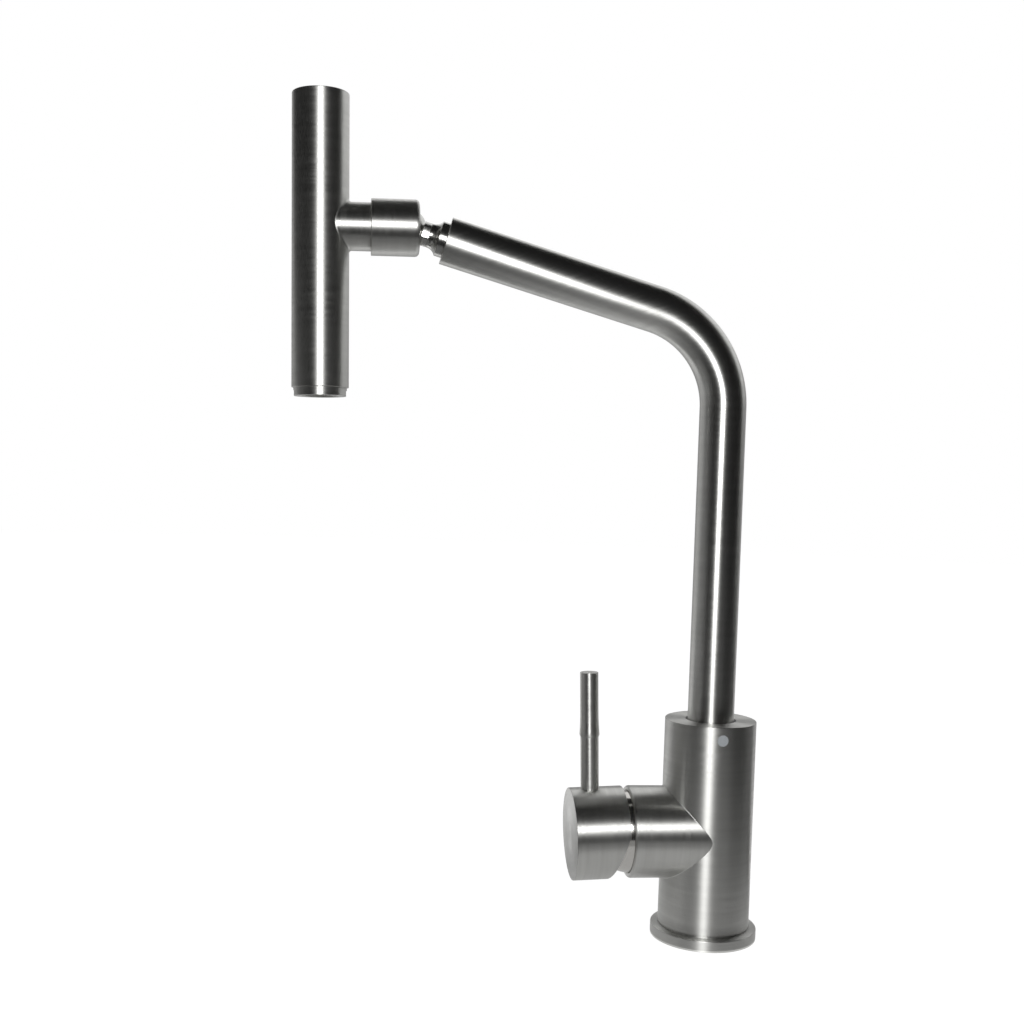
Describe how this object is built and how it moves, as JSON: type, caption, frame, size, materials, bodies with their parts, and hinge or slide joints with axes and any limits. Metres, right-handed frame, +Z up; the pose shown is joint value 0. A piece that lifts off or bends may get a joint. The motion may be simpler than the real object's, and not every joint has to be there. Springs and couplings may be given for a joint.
{
  "type": "kitchen mixer tap",
  "caption": "Single-lever kitchen mixer with a round body, side lever, tall swivelling bent spout and a tubular head on a ball joint.",
  "frame": {"origin": "centre of the base ring's underside, on the deck", "axes": "+Z up along the body and the riser; the side barrel, the lever and, at rest, the spout point to -X; the grub screw faces -Y"},
  "size_m": [0.2672, 0.058, 0.4473],
  "materials": {
    "brushed_stainless": "fine brushed stainless steel",
    "polished_stainless": "polished stainless steel",
    "fastener_steel": "plain turned steel",
    "brass": "turned brass",
    "black_rubber": "moulded rubber",
    "dark_acetal": "turned dark acetal",
    "white_acetal": "moulded white acetal",
    "grey_plug": "moulded grey plastic",
    "white_ceramic": "lapped alumina ceramic"
  },
  "bodies": {
    "root": {"body": "brushed_stainless", "base_ring": "brushed_stainless", "base_seal": "black_rubber", "spout_bush": "dark_acetal", "thrust_washer": "white_acetal", "spout_grub_screw": "fastener_steel", "grub_screw_plug": "grey_plug", "cartridge_foot": "white_acetal", "foot_seals": "black_rubber", "disc_seals": "black_rubber", "fixed_disc": "white_ceramic", "cartridge_housing": "white_acetal", "cartridge_nut": "brass", "dome_ring": "polished_stainless"},
    "spout": {"spout_tube": "brushed_stainless", "spout_foot": "brass", "spout_o_rings": "black_rubber", "glide_ring": "white_acetal", "arm_fitting": "brass"},
    "ball_stem": {"ball_stem": "polished_stainless", "stem_seal": "black_rubber"},
    "ball_seat": {"ball_seat": "white_acetal", "seat_spring_ring": "black_rubber"},
    "head": {"ball_nut": "brushed_stainless", "branch_spigot": "brass", "head_branch": "brushed_stainless", "head_tube": "brushed_stainless", "head_end_cap": "brushed_stainless", "aerator_adapter": "brass", "aerator_housing": "brushed_stainless", "aerator_insert": "white_acetal", "aerator_washer": "black_rubber"},
    "driver": {"cartridge_driver": "white_acetal", "pivot_pin": "fastener_steel"},
    "lever": {"spindle": "brass", "lever_cap": "brushed_stainless", "lever_rod": "brushed_stainless", "lever_grip": "brushed_stainless", "lever_grub_screw": "fastener_steel"},
    "moving_disc": {"moving_disc": "white_ceramic", "disc_carrier": "white_acetal"}
  },
  "joints": [
    {"name": "spout_swivel", "type": "hinge", "parent": "root", "child": "spout", "pos_m": [0, 0, 0.12], "axis": [0, 0, 1], "continuous": true},
    {"name": "stem_turn", "type": "hinge", "parent": "spout", "child": "ball_stem", "pos_m": [-0.17606, 0, 0.37972], "axis": [-0.9668, 0, 0.2554], "continuous": true},
    {"name": "head_tilt", "type": "hinge", "parent": "ball_stem", "child": "ball_seat", "pos_m": [-0.17606, 0, 0.37972], "axis": [0, 1, 0], "range_deg": [-5.1, 37.9]},
    {"name": "head_spin", "type": "hinge", "parent": "ball_seat", "child": "head", "pos_m": [-0.17606, 0, 0.37972], "axis": [-0.9996, 0, -0.0279], "continuous": true},
    {"name": "lever_turn", "type": "hinge", "parent": "root", "child": "driver", "pos_m": [-0.045, 0, 0.0575], "axis": [-1, 0, 0], "range_deg": [-45, 45]},
    {"name": "lever_lift", "type": "hinge", "parent": "driver", "child": "lever", "pos_m": [-0.0435, 0, 0.0575], "axis": [0, -1, 0], "range_deg": [-2.4, 19.6]},
    {"name": "disc_slide", "type": "slide", "parent": "driver", "child": "moving_disc", "axis": [0, 0, 1], "range_m": [-0.0009, 0.0068]}
  ],
  "couplings": [
    {"joint": "disc_slide", "follows": "lever_lift", "m_per_rad": 0.0195}
  ]
}
